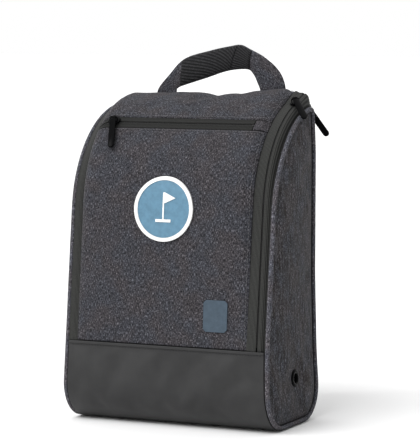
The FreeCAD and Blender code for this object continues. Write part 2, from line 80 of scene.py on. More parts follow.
# sizes that the frame does not name
SHOULDER = 124 * MM
CROWN = 6 * MM
SIDE_DROP = 9 * MM
CORNER, TOE, HEEL = 8 * MM, 42 * MM, 40 * MM
LEAN_EDGE, LEAN_FULL = math.radians(6.23), math.radians(3.98)
ZIP_LOW, ZIP_MID, ZIP_HIGH = (math.radians(a) for a in (45.4, 48.9, 52.4))
PIPING_R = 2.75 * MM
CLOTH = 1.6 * MM
TEETH_PITCH = 1.5 * MM
TOOTH_SPAN = 0.76 * MM
STITCH_INSET, STITCH_PITCH, STITCH_R = 3.2 * MM, 3.4 * MM, 0.32 * MM


# ---- small helpers

def smooth(value, low, high):
    """0 below low, 1 above high, and a smooth rise between."""
    share = min(1, max(0, (value - low) / (high - low)))
    return share * share * (3 - 2 * share)


def mix(a, b, share):
    return a + (b - a) * share


def rough(x, y, size, seed=0.0):
    """Smooth noise from -1 to 1 with lumps of about the given size."""
    return noise.noise(Vector((x / size, y / size, seed)))


def spread(low, high, step, border=10 * MM, fine=1.6 * MM):
    """Values from low to high, closer together near both ends."""
    values, here = [low], low
    while here < high - 1e-9:
        near = min(here - low, high - here)
        here = min(high, here + mix(fine, step, smooth(near, 2 * MM, border)))
        values.append(here)
    if values[-1] - values[-2] < fine * 0.5:
        values.pop(-2)
    return values


def flared(point):
    """The zipped side leans out low down, and comes in a little at its top and its back."""
    x, y, z = point
    if x < 60 * MM or x > 1:
        return tuple(point)
    low = 3.4 * (1 - smooth(z, 12 * MM, 96 * MM)) * smooth(x, 60 * MM, 116 * MM)
    rim = smooth(x, 113 * MM, 121 * MM)
    high = 1.8 * smooth(z, 290 * MM, 345 * MM) * rim
    rear = 1.8 * smooth(y, -5 * MM, 60 * MM) * smooth(z, 80 * MM, 170 * MM) * rim
    return x + (low - high - rear) * MM, y, z


def new_object(name, vertices, faces, uvs=None):
    mesh = bpy.data.meshes.new(name)
    mesh.from_pydata([flared(v) for v in vertices], [], faces)
    mesh.update()
    if uvs:
        layer = mesh.uv_layers.new(name="UVMap")
        for loop in mesh.loops:
            layer.data[loop.index].uv = uvs[loop.vertex_index]
    mesh.polygons.foreach_set("use_smooth", [True] * len(mesh.polygons))
    obj = bpy.data.objects.new(name, mesh)
    bpy.context.scene.collection.objects.link(obj)
    return obj


def freeze(obj):
    """Put the result of the modifiers into the mesh and drop them."""
    graph = bpy.context.evaluated_depsgraph_get()
    mesh = bpy.data.meshes.new_from_object(obj.evaluated_get(graph))
    obj.modifiers.clear()
    obj.data = mesh
    return obj


def thicken(obj, thick, levels=1):
    """Give a sheet its thickness, inwards from its face, and smooth it."""
    solid = obj.modifiers.new("solid", "SOLIDIFY")
    solid.thickness = thick
    solid.offset = -1
    solid.use_even_offset = True
    if levels:
        subdivision = obj.modifiers.new("subdivision", "SUBSURF")
        subdivision.levels = subdivision.render_levels = levels
    return freeze(obj)


def grid_faces(columns, rows, flip=False, closed=False):
    """Quads of a grid whose vertices run along the columns first."""
    faces = []
    for row in range(rows - 1 + closed):
        for column in range(columns - 1):
            a = row % rows * columns + column
            b = (row + 1) % rows * columns + column
            quad = (a, a + 1, b + 1, b)
            faces.append(quad[::-1] if flip else quad)
    return faces


def ring_faces(rows, sides, closed=False, flip=False, first=0):
    """Quads between rings of vertices, closed into a loop or capped at both ends."""
    faces = []
    for row in range(rows if closed else rows - 1):
        near, far = first + row * sides, first + (row + 1) % rows * sides
        for turn in range(sides):
            beside = (turn + 1) % sides
            if flip:
                faces.append((near + turn, far + turn, far + beside, near + beside))
            else:
                faces.append((near + turn, near + beside, far + beside, far + turn))
    if not closed:
        start = tuple(first + n for n in range(sides))
        end = tuple(first + (rows - 1) * sides + n for n in range(sides))
        faces += [start, end[::-1]] if flip else [start[::-1], end]
    return faces


# ---- the side profile

class Profile:
    """A side profile in four stretches, t 0 to 4: leaning leg, shoulder, corner and back."""

    def __init__(self, radius, lean, middle):
        self.radius, self.lean, self.middle = radius, lean, middle
        across, reach = BACK - CORNER - CENTRE_Y, radius - CORNER
        rise = math.sqrt(reach ** 2 - across ** 2)
        self.corner = (BACK - CORNER, middle + rise)
        self.turn = math.atan2(rise, -across)
        self.foot = CENTRE_Y - radius / math.cos(lean) - (middle - SEAM) * math.tan(lean)
        top = self.arc(self.lean)
        self.lengths = [math.dist((self.foot, SEAM), top[:2]), radius * (self.turn - lean),
                        CORNER * (math.pi - self.turn), self.corner[1] - SEAM]

    def arc(self, angle):
        along, up = -math.cos(angle), math.sin(angle)
        return CENTRE_Y + along * self.radius, self.middle + up * self.radius, along, up

    def at(self, t):
        """(y, z, outward y, outward z) at t."""
        part = min(3, int(t))
        share = t - part
        if part == 0:
            y, z, along, up = self.arc(self.lean)
            return mix(self.foot, y, share), mix(SEAM, z, share), along, up
        if part == 1:
            return self.arc(mix(self.lean, self.turn, share))
        if part == 2:
            angle = mix(self.turn, math.pi, share)
            along, up = -math.cos(angle), math.sin(angle)
            return self.corner[0] + along * CORNER, self.corner[1] + up * CORNER, along, up
        return BACK, mix(self.corner[1], SEAM, share), 1.0, 0.0

    def depth(self, z, inset):
        """How far back the front of the profile lies at a height, some way inside it."""
        if z > self.arc(self.lean)[1]:
            return CENTRE_Y - math.sqrt((self.radius - inset) ** 2 - (z - self.middle) ** 2)
        return self.foot + (z - SEAM) * math.tan(self.lean) + inset / math.cos(self.lean)

    def t_of_angle(self, angle):
        return 1 + (angle - self.lean) / (self.turn - self.lean)

    def t_of_back(self, height):
        return 3 + (self.corner[1] - height) / (self.corner[1] - SEAM)

    def length_to(self, t):
        part = min(3, int(t))
        return sum(self.lengths[:part]) + self.lengths[part] * (t - part)

    def t_of_length(self, length):
        for part, stretch in enumerate(self.lengths):
            if length <= stretch or part == 3:
                return part + length / stretch
            length -= stretch


EDGE = Profile(SHOULDER, LEAN_EDGE, CENTRE_Z)
FULL = Profile(SHOULDER + CROWN, LEAN_FULL, CENTRE_Z)
SIDE = Profile(SHOULDER + SIDE_DROP * math.sin(LEAN_EDGE), LEAN_EDGE, CENTRE_Z - SIDE_DROP)
TOTAL = FULL.length_to(4)
T_LOW, T_MID, T_HIGH = (FULL.t_of_angle(a) for a in (ZIP_LOW, ZIP_MID, ZIP_HIGH))
T_BACK_SEAM = FULL.t_of_back(BACK_SEAM)
KNEE = TOE * (1 + math.sin(LEAN_EDGE))
TOE_MIDDLE = EDGE.foot + (KNEE - SEAM) * math.tan(LEAN_EDGE) + TOE * math.cos(LEAN_EDGE)

# How far the soft top stands above its pattern, from left to right, in millimetres.
TOP_LINE = [(-121, -1), (-79, -3.2), (-55, -2), (-36, -0.8), (-12, -0.2), (8, -1.2), (39, 0.4),
            (57, 2.6), (88, 5.4), (97, 4.2), (105, 0.6), (125, 0)]
PUCKERS = (-26, 8, 39)


def top_rise(x, t):
    """The soft top's height above its pattern: higher at the stiff zipped side, puckered."""
    stiff = smooth(x, 92 * MM, 101 * MM) * (1 - smooth(x, 111 * MM, 118 * MM))
    corner = 6.5 * MM * stiff * smooth(t, 1.84, 2.06) * (1 - smooth(t, 2.75, 3.2))
    over_top = smooth(t, 1.72, 2.05) * (1 - smooth(t, 2.7, 3.12))
    if over_top == 0:
        return corner
    across = x / MM
    height = 0.0
    for (a, low), (b, high) in zip(TOP_LINE, TOP_LINE[1:]):
        if a <= across <= b:
            height = mix(low, high, smooth(across, a, b))
    pucker = sum(math.exp(-abs(across - middle) / 5) for middle in PUCKERS)
    height -= 2.4 * pucker * smooth(t, 1.85, 2.2) * (1 - smooth(t, 2.9, 3.05))
    return over_top * height * MM + corner


def zip_droop(x, t):
    """The pocket zip's left end runs down into the seam, its upper edge more than its lower."""
    end = smooth(-x, 89 * MM, LEFT_EDGE)
    if end == 0 or not 1 < t < 2:
        return 0.0
    between = min(1.0, max(0.0, (t - T_LOW) / (T_HIGH - T_LOW)))
    fade = smooth(t, T_LOW - 0.3, T_LOW) * (1 - smooth(t, T_HIGH, T_HIGH + 0.3))
    return end * fade * mix(0.014, 0.055, between)


def edge_wrap(x, t):
    """The point and outward normal of the bands: level at the zip, lower beside the piping."""
    low = smooth(x, 112.5 * MM, 119 * MM) if x > 0 else smooth(-x, 104 * MM, 116 * MM)
    y, z, along, up = (mix(a, b, low) for a, b in zip(EDGE.at(t), SIDE.at(t)))
    return Vector((x, y, z + top_rise(x, t))), Vector((0, along, up)).normalized()


def wrap(x, t):
    """The point and outward normal of the cloth: full in the middle, falling to its edges."""
    t -= zip_droop(x, t)
    full = 1 - (smooth(x, 89 * MM, 101 * MM) if x > 0 else smooth(-x, 97 * MM, 109 * MM))
    point, normal = edge_wrap(x, t)
    y, z, along, up = FULL.at(t)
    fuller = Vector((x, y, z + top_rise(x, t)))
    return point.lerp(fuller, full), normal.lerp(Vector((0, along, up)), full).normalized()


def overhang(x, t):
    """The top cloth bulges over the left band."""
    x -= 5.5 * MM * smooth(-x, 80 * MM, LEFT_EDGE) * smooth(t, T_HIGH + 0.05, 1.75)
    return wrap(x, t)


def under(t):
    """The base sheet, t 0 to 5: down the leg, round the toe, underside, heel, up the back."""
    lean, part = LEAN_EDGE, min(4, int(t))
    share = t - part
    if part == 0:
        z = mix(BASE_TOP, KNEE, share)
        return EDGE.foot + (z - SEAM) * math.tan(lean), z, -math.cos(lean), math.sin(lean)
    if part == 1:
        angle = mix(-lean, math.pi / 2, share)
        along, up = -math.cos(angle), -math.sin(angle)
        return TOE_MIDDLE + along * TOE, TOE + up * TOE, along, up
    if part == 2:
        return mix(TOE_MIDDLE, BACK - HEEL, share), 0.0, 0.0, -1.0
    if part == 3:
        angle = share * math.pi / 2
        along, up = math.sin(angle), -math.cos(angle)
        return BACK - HEEL + along * HEEL, HEEL + up * HEEL, along, up
    return BACK, mix(HEEL, BASE_TOP, share), 1.0, 0.0


UNDER_STATIONS = [n / 200 for n in range(1001)]


def under_table():
    """Cumulative length along the base sheet at each station."""
    lengths, last = [0.0], under(0)
    for t in UNDER_STATIONS[1:]:
        here = under(t)
        lengths.append(lengths[-1] + math.dist(here[:2], last[:2]))
        last = here
    return lengths


UNDER_LENGTHS = under_table()


def under_t(length):
    for index, reach in enumerate(UNDER_LENGTHS[1:], 1):
        if reach >= length:
            before = UNDER_LENGTHS[index - 1]
            share = (length - before) / (reach - before)
            return mix(UNDER_STATIONS[index - 1], UNDER_STATIONS[index], share)
    return 5.0


def base_sheet(x, t):
    y, z, along, up = under(t)
    return Vector((x, y, z)), Vector((0, along, up))


# ---- materials

class Look:
    """The nodes of a material or of the world, and the shader that they feed."""

    def __init__(self, owner, shader):
        owner.use_nodes = True
        self.owner, self.tree = owner, owner.node_tree
        self.shader = self.tree.nodes[shader]

    def node(self, kind, inputs=None, **settings):
        """A node with its settings, its input values or links."""
        made = self.tree.nodes.new(kind)
        for key, value in settings.items():
            setattr(made, key, value)
        for key, value in (inputs or {}).items():
            if isinstance(value, bpy.types.NodeSocket):
                self.tree.links.new(value, made.inputs[key])
            else:
                made.inputs[key].default_value = value
        return made

    def feed(self, socket, value):
        self.tree.links.new(value, self.shader.inputs[socket])

    def cloth_place(self, scale=(1, 1, 1)):
        """Coordinates of the cloth as cut, in metres, stretched by scale."""
        coords = self.node("ShaderNodeTexCoord").outputs["UV"]
        return self.node("ShaderNodeMapping", {"Vector": coords, "Scale": scale}).outputs[0]

    def flecks(self, place, scale, detail=2.0):
        """Noise from 0 to 1: the larger the scale, the finer."""
        inputs = {"Vector": place, "Scale": scale, "Detail": detail, "Roughness": 0.6}
        return self.node("ShaderNodeTexNoise", inputs).outputs["Fac"]

    def cells(self, place, scale):
        """Distance to the nearest of many scattered points."""
        inputs = {"Vector": place, "Scale": scale}
        return self.node("ShaderNodeTexVoronoi", inputs, feature="F1").outputs["Distance"]

    def ramp(self, factor, *stops):
        """A colour ramp through (place, colour) stops."""
        made = self.node("ShaderNodeValToRGB", {"Fac": factor})
        elements = made.color_ramp.elements
        while len(elements) < len(stops):
            elements.new(0.5)
        for element, (place, colour) in zip(elements, stops):
            element.position = place
            element.color = (*colour, 1)
        return made.outputs["Color"]

    def mixed(self, factor, a, b, blend="MIX"):
        """Colour a changed by colour b; the sockets are numbered, as several share a name."""
        inputs = {0: factor, 6: a, 7: b}
        return self.node("ShaderNodeMix", inputs, data_type="RGBA", blend_type=blend).outputs[2]

    def multiplied(self, a, b):
        return self.mixed(1.0, a, b, "MULTIPLY")

    def maths(self, operation, *values):
        inputs = dict(enumerate(values))
        return self.node("ShaderNodeMath", inputs, operation=operation).outputs[0]

    def weighted(self, *parts):
        """The sum of (value, share) parts."""
        total = None
        for value, share in parts:
            part = self.maths("MULTIPLY", value, share)
            total = part if total is None else self.maths("ADD", total, part)
        return total

    def ribs(self, place, pitch, axis="X"):
        """A wave from 0 to 1 with the given pitch along one axis of the cloth."""
        parts = self.node("ShaderNodeSeparateXYZ", {0: place}).outputs[axis]
        turn = self.maths("MULTIPLY", parts, 2 * math.pi / pitch)
        return self.maths("MULTIPLY_ADD", self.maths("SINE", turn), 0.5, 0.5)

    def bump(self, height, distance, strength):
        inputs = {"Height": height, "Distance": distance, "Strength": strength}
        self.feed("Normal", self.node("ShaderNodeBump", inputs).outputs[0])

    def crease_shaded(self, colour, reach=7 * MM):
        """The colour with painted shade: darker where ambient occlusion finds creases and hollows
        beside seams and cords.
        """
        # Painted shade: the ambient occlusion darkens the colour in creases, seams and hollows.
        open_share = self.node("ShaderNodeAmbientOcclusion", {"Distance": reach},
                               samples=8).outputs["AO"]
        return self.multiplied(colour, self.ramp(open_share, (0.25, grey(0.22)), (0.92, grey(1))))


def new_look(name, roughness, **sockets):
    """The look of a new material, with its roughness and other sockets of its shader set."""
    look = Look(bpy.data.materials.new(name), "Principled BSDF")
    for socket, value in dict(sockets, Roughness=roughness).items():
        look.shader.inputs[socket.replace("_", " ")].default_value = value
    return look


def grey(value):
    return (value,) * 3


def times(colour, share):
    return tuple(c * share for c in colour)


def heather(name, light=1.0, slub=0.12):
    """Heathered polyester: dark and pale yarns in a plain weave, with uneven bluish dyeing."""
    look = new_look(name, 0.9, Sheen_Weight=0.05, Sheen_Roughness=0.5, Specular_IOR_Level=0.12)
    warp = look.flecks(look.cloth_place((1, 0.2, 1)), 1550)
    weft = look.flecks(look.cloth_place((0.3, 1, 1)), 1350)
    yarn = look.weighted((warp, 0.62), (weft, 0.38))
    dark, mid, pale, white = (times(rgb, light) for rgb in (
        (0.009, 0.009, 0.0105), (0.027, 0.0265, 0.030), (0.062, 0.062, 0.069), (0.20, 0.20, 0.215)))
    colour = look.ramp(yarn, (0.40, dark), (0.49, mid), (0.56, pale), (0.68, white))
    dye = look.flecks(look.cloth_place(), 34, 1.0)
    tint = look.ramp(dye, (0.40, (1.05, 0.985, 0.99)), (0.60, (0.95, 0.985, 1.06)))
    colour = look.multiplied(colour, tint)
    slubs = look.flecks(look.cloth_place((1, 0.16, 1)), 330, 3.0)
    streak = look.ramp(slubs, (0.38, (1 - slub, 1 - slub * 1.1, 1 - slub * 1.3)),
                       (0.62, grey(1 + slub * 1.4)))
    # Painted shade in the creases and beside the seams, from ambient occlusion.
    look.feed("Base Color", look.crease_shaded(look.multiplied(colour, streak)))
    place, yarn_pitch = look.cloth_place(), 0.9 * MM
    height = look.weighted((look.ribs(place, yarn_pitch), 0.35),
                           (look.ribs(place, yarn_pitch, "Y"), 0.35), (yarn, 1))
    look.bump(height, 0.25 * MM, 0.8)
    return look.owner


def tape(name, light=1.0):
    """Ribbed woven tape, dark with a faint olive cast."""
    look = new_look(name, 0.85, Sheen_Weight=0.04, Specular_IOR_Level=0.15)
    rib = look.ribs(look.cloth_place(), 1.5 * MM)
    fine = look.flecks(look.cloth_place((1, 0.5, 1)), 1400)
    value = look.weighted((rib, 0.6), (fine, 0.7))
    dark, mid, pale = (times(rgb, light) for rgb in (
        (0.008, 0.008, 0.0078), (0.025, 0.0255, 0.0242), (0.055, 0.056, 0.053)))
    colour = look.ramp(value, (0.30, dark), (0.66, mid), (0.98, pale))
    # Painted shade in the creases and beside the seams, from ambient occlusion.
    look.feed("Base Color", look.crease_shaded(colour))
    look.bump(value, 0.3 * MM, 0.7)
    return look.owner


def vinyl():
    """Smooth soft vinyl with a very fine grain, paler where it is rubbed."""
    look = new_look("vinyl", 0.46, Specular_IOR_Level=0.3)
    place = look.cloth_place()
    haze = look.flecks(place, 22, 3.0)
    colour = look.ramp(haze, (0.3, (0.016, 0.016, 0.0165)), (0.7, (0.027, 0.027, 0.0275)))
    polish = look.ramp(haze, (0.3, grey(0.42)), (0.7, grey(0.54)))
    # Painted shade in the folds and beside the seams, from ambient occlusion.
    look.feed("Base Color", look.crease_shaded(colour, 4 * MM))
    look.feed("Roughness", polish)
    look.bump(look.cells(place, 900), 0.12 * MM, 0.35)
    return look.owner


def plain_weave(name, colour, coords="UV"):
    """A plain woven lining cloth."""
    pitch = 0.8 * MM
    look = new_look(name, 0.8, Sheen_Weight=0.1)
    place = look.node("ShaderNodeTexCoord").outputs[coords]
    weave = look.maths("MULTIPLY", look.ribs(place, pitch), look.ribs(place, pitch, "Y"))
    shade = look.weighted((weave, 1), (look.flecks(place, 700), 0.5))
    look.feed("Base Color",
              look.ramp(shade, (0.1, times(colour, 0.6)), (1.0, times(colour, 1.5))))
    look.bump(shade, 0.2 * MM, 0.6)
    return look.owner


# The ribs of the handle's mesh: their slants to the strap on each side of its cross seam.
RIB_SLANTS = (math.radians(32), math.radians(14))
RIB_PITCH = 3.0 * MM
MESH_SEAM = 62 * MM


def rib_phase(along, across):
    """How far a place on the handle's mesh is across its slanting ribs."""
    slant = RIB_SLANTS[along > MESH_SEAM]
    return across * math.cos(slant) - along * math.sin(slant)


def spacer_mesh():
    """Open spacer mesh in slanting ribs, which lie flatter beyond its cross seam."""
    look = new_look("spacer_mesh", 0.75, Specular_IOR_Level=0.15)
    place = look.cloth_place()
    parts = look.node("ShaderNodeSeparateXYZ", {0: place}).outputs
    beyond = look.maths("GREATER_THAN", parts["X"], MESH_SEAM)
    first, second = RIB_SLANTS
    down, along = (look.maths("MULTIPLY_ADD", beyond, way(second) - way(first), way(first))
                   for way in (math.cos, math.sin))
    phase = look.maths("SUBTRACT", look.maths("MULTIPLY", parts["Y"], down),
                       look.maths("MULTIPLY", parts["X"], along))
    turn = look.maths("MULTIPLY", phase, 2 * math.pi / RIB_PITCH)
    holes = look.cells(place, 1000)
    value = look.weighted((look.maths("SINE", turn), 0.28), (holes, 0.7))
    look.feed("Base Color", look.ramp(value, (0.10, (0.005, 0.005, 0.0055)),
                                      (0.42, (0.011, 0.011, 0.012)),
                                      (0.72, (0.030, 0.030, 0.032))))
    look.bump(holes, 0.3 * MM, 0.6)
    return look.owner


def moulded(name, colour, roughness=0.4, grain=0.05 * MM, **sockets):
    """Moulded plastic or rubber: nearly even colour, fine unevenness in gloss and surface."""
    look = new_look(name, roughness, **sockets)
    coords = look.node("ShaderNodeTexCoord").outputs["Object"]
    cloud = look.flecks(coords, 180, 3.0)
    look.feed("Base Color",
              look.ramp(cloud, (0.3, times(colour, 0.88)), (0.7, times(colour, 1.12))))
    look.feed("Roughness", look.ramp(look.flecks(coords, 420), (0.35, grey(roughness * 0.8)),
                                     (0.65, grey(roughness * 1.2))))
    look.bump(look.flecks(coords, 1500, 1.0), grain, 0.4)
    return look.owner


MATERIALS = {
    "heather": heather("heather"),
    # Painted highlight: the piping is a lighter copy of the heather, standing in for the light on
    # its rounded ridge.
    "piping": heather("piping", 1.75),
    # Painted shade: the sides are a darker copy of the heather, for the less light that falls on
    # them; their stronger streaks are the cloth's own.
    "side": heather("side_heather", 0.92, 0.42),
    "strap": heather("strap", 1.1),
    "band": tape("zip_tape"),
    # Painted shade: the pocket zip's tape is a darker copy of the main zip's tape, for the shadow
    # under the overhanging top cloth.
    "narrow_band": tape("pocket_zip_tape", 0.55),
    "vinyl": vinyl(),
    "lining": plain_weave("lining", (0.020, 0.020, 0.022)),
    "mesh": spacer_mesh(),
    "thread": moulded("thread", (0.11, 0.11, 0.118), 0.7, Specular_IOR_Level=0.2),
    "dark_thread": moulded("dark_thread", (0.026, 0.026, 0.028), 0.7, Specular_IOR_Level=0.2),
    "coil": moulded("nylon_coil", (0.012, 0.012, 0.012), 0.42),
    "board": plain_weave("covered_board", (0.016, 0.016, 0.017), coords="Object"),
    "hardware": moulded("black_enamel", (0.003, 0.003, 0.0033), 0.12, 0.01 * MM, IOR=1.1),
    "badge_rim": moulded("badge_white", (0.78, 0.78, 0.77), 0.45),
    "badge_blue": moulded("badge_blue", (0.10, 0.21, 0.30), 0.5, Specular_IOR_Level=0.3),
    "badge_white": moulded("badge_ink", (0.80, 0.80, 0.79), 0.5),
    "patch": moulded("patch_rubber", (0.048, 0.070, 0.094), 0.6, Specular_IOR_Level=0.25),
}


def dress(obj, key):
    """Give an object one material."""
    obj.data.materials.clear()
    obj.data.materials.append(MATERIALS[key])


def finish_piece(obj, slot, body=None, nodes=(), material=None):
    """Paint a piece with the material given, or else the one its slot names, and put it on its body
    in place of CAD nodes.
    """
    dress(obj, material or slot)
    if nodes:
        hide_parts(*nodes)
    if body:
        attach(obj, body)
    return obj


# ---- cloth

def settle(obj, held, swell, slack, cap):
    """Let a sheet with held vertices swell and ripple with its own slack, at most cap away."""
    frames = 20
    rest = [v.co.copy() for v in obj.data.vertices]
    group = obj.vertex_groups.new(name="held")
    for index, weight in enumerate(held):
        group.add([index], weight, "REPLACE")
    cloth = obj.modifiers.new("cloth", "CLOTH")
    settings = cloth.settings
    settings.quality = 5
    settings.mass = 0.2
    settings.tension_stiffness = settings.compression_stiffness = 12
    settings.shear_stiffness = 4
    settings.bending_stiffness = 3
    settings.shrink_min = -slack
    settings.use_pressure = True
    settings.uniform_pressure_force = swell
    settings.vertex_group_mass = "held"
    settings.effector_weights.gravity = 0
    cloth.collision_settings.use_collision = False
    cloth.point_cache.frame_start, cloth.point_cache.frame_end = 1, frames
    scene = bpy.context.scene
    for frame_number in range(1, frames + 1):
        scene.frame_set(frame_number)
    graph = bpy.context.evaluated_depsgraph_get()
    moved = [v.co.copy() for v in obj.evaluated_get(graph).data.vertices]
    obj.modifiers.clear()
    for vertex, start, end in zip(obj.data.vertices, rest, moved):
        way = end - start
        reach = way.length
        if reach > 1e-9:
            vertex.co = start + way * (cap * math.tanh(reach / cap) / reach)
    scene.frame_set(1)


def grid(name, columns, rows, spot, flip=False):
    """A grid of cloth: spot(column, row) gives each vertex and its flat coordinates."""
    vertices, uvs = zip(*(spot(column, row) for row in rows for column in columns))
    return new_object(name, vertices, grid_faces(len(columns), len(rows), flip), uvs)


def sheet(name, xs, lengths, lift, place=wrap, t_of=FULL.t_of_length, flip=False):
    """A grid of cloth that stands lift(x, length) off a surface."""
    def spot(x, row):
        length, t = row
        point, normal = place(x, t)
        return point + normal * lift(x, length), (x, length)
    return grid(name, xs, [(length, t_of(length)) for length in lengths], spot, flip)


def border(x, length, xs, lengths):
    """Distance to the nearest edge of a sheet."""
    return min(x - xs[0], xs[-1] - x, length - lengths[0], lengths[-1] - length)


def panel_lift(xs, lengths, extra=None, seam=1.1 * MM):
    """Cloth turned under at its edges, with a shallow groove along the row of stitches."""
    def lift(x, length):
        edge = border(x, length, xs, lengths)
        value = -seam * math.exp(-edge / (1.3 * MM))
        value -= 0.35 * MM * math.exp(-((edge - STITCH_INSET) / (1.1 * MM)) ** 2)
        return value + (extra(x, length) if extra else 0)
    return lift


def held_near(xs, lengths, band, fixed=()):
    """Weights that hold a sheet's border, and round places (x, length, radius) inside it."""
    weights = []
    for length in lengths:
        for x in xs:
            weight = 1 - smooth(border(x, length, xs, lengths), band * 0.5, band)
            for cx, cl, radius in fixed:
                away = math.hypot(x - cx, length - cl)
                weight = max(weight, 1 - smooth(away, radius, radius * 1.35))
            weights.append(weight)
    return weights


def front_length(height):
    """The length along the full profile at a height on the front."""
    leg_top = FULL.arc(LEAN_FULL)[1]
    if height <= leg_top:
        return (height - SEAM) / math.cos(LEAN_FULL)
    angle = math.asin((height - CENTRE_Z) / FULL.radius)
    return FULL.length_to(FULL.t_of_angle(angle))


# Creases across the top cloth: place across, place along, width and depth, in millimetres.
CREASES = ((-2, 22, 11, 2.2), (6, 27, 7, 1.5), (-16, 17, 9, 1.1), (62, 30, 12, 0.9),
           (-58, 24, 13, 0.8))


def top_creases(x, length):
    """Soft lumps in the top cloth, and short creases that run across it."""
    value = 0.9 * rough(x, length, 30 * MM, 3.1)
    for across, along, wide, deep in CREASES:
        u = x / MM - across
        v = (length - FULL.length_to(T_HIGH)) / MM - along - 0.22 * u
        value -= deep * math.exp(-(u / wide) ** 2 - (v / 2.6) ** 2)
        value += 0.6 * deep * math.exp(-(u / wide) ** 2 - ((v - 5.5) / 3.2) ** 2)
    return value * MM


def panel(name, xs, lengths, band, swell, slack, node_name, place=wrap, cap=1.6 * MM, extra=None,
          fixed=()):
    """A cloth panel, settled with its border held."""
    cloth = sheet(name, xs, lengths, panel_lift(xs, lengths, extra), place)
    settle(cloth, held_near(xs, lengths, band, fixed), swell, slack, cap)
    finish_piece(thicken(cloth, CLOTH), "heather", "bag", [node_name])


def cloth_panels():
    """The front, top and back cloths."""
    xs = spread(-LEFT_EDGE, PANEL_EDGE, 4.5 * MM)
    badge, patch = node_middle("badge_disc"), node_middle("front_patch")
    badge_radius = (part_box("badge_rim")[1].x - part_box("badge_rim")[0].x) / 2
    fixed = [(badge.x, front_length(badge.z), badge_radius + 2 * MM),
             (patch.x, front_length(patch.z), 20 * MM)]
    panel("front_cloth", xs, spread(0, FULL.length_to(T_LOW), 4.5 * MM), 14 * MM, 1.2, 0.006,
          "front_panel", fixed=fixed)
    start, end = FULL.length_to(T_HIGH), FULL.length_to(T_BACK_SEAM)
    panel("top_cloth", xs, spread(start, end, 4 * MM), 10 * MM, 1.5, 0.012, "top_panel",
          overhang, 2.5 * MM, top_creases)
    panel("back_cloth", xs, spread(end + 0.6 * MM, TOTAL, 4.5 * MM), 12 * MM, 1.0, 0.006,
          "back_panel")


def vinyl_folds(x, length):
    """Soft diagonal folds low on the front of the base."""
    t = under_t(length)
    front = 1 - smooth(t, 1.0, 1.9)
    across = x + 0.55 * length
    fold = rough(across, 0.0, 26 * MM, 7.7) + 0.5 * rough(x, length, 40 * MM, 2.2)
    inside = smooth(border(x, length, (-BAND_EDGE[-1], BAND_EDGE[1]), (0, 1)), 2 * MM, 22 * MM)
    return front * inside * fold * 1.4 * MM


VINYL_FOLD = 3.5 * MM


def base_parts():
    """The vinyl base and the folded edge along its top."""
    xs = spread(-BAND_EDGE[-1] - 0.4 * MM, BAND_EDGE[1] + 0.4 * MM, 5 * MM)
    lengths = spread(0, UNDER_LENGTHS[-1], 5 * MM)
    piece = sheet("vinyl_sheet", xs, lengths, vinyl_folds, base_sheet, under_t, flip=True)
    flat = []
    for length in lengths:
        t = under_t(length)
        low = smooth(t, 1.35, 1.7) * (1 - smooth(t, 3.3, 3.65))
        flat += [max(low, 1 - smooth(border(x, length, xs, lengths), 6 * MM, 14 * MM)) for x in xs]
    settle(piece, flat, 1.0, 0.008, 1.6 * MM)
    finish_piece(thicken(piece, CLOTH), "vinyl", "bag", ["vinyl_base"])

    def fold(x, length):
        round_off = math.sqrt(max(0, 1 - (2 * length / VINYL_FOLD - 1) ** 6))
        return 0.1 * MM + round_off * 0.75 * MM + vinyl_folds(x, length)
    rows = [n * VINYL_FOLD / 12 for n in range(13)]
    edge = sheet("vinyl_fold", xs, rows, fold, base_sheet, under_t, flip=True)
    finish_piece(thicken(edge, 0.7 * MM), "vinyl", "bag", ["vinyl_welt"])


# ---- sides and piping

def side_rows(inset):
    """Heights of a side cloth and the depths of its front and back edge at each."""
    reach = BACK - inset - 1.5 * MM - CENTRE_Y
    top = SIDE.middle + math.sqrt((SIDE.radius - inset) ** 2 - reach ** 2)
    rows = []
    for z in spread(inset, top, 5 * MM, fine=1.2 * MM):
        front, back = SIDE.depth(z, inset), BACK - inset
        if z < TOE:
            front = max(front, TOE_MIDDLE - math.sqrt(max(0, (TOE - inset) ** 2 - (TOE - z) ** 2)))
        if z < HEEL:
            back = BACK - HEEL + math.sqrt(max(0, (HEEL - inset) ** 2 - (HEEL - z) ** 2))
        rows.append((z, front, back))
    return rows


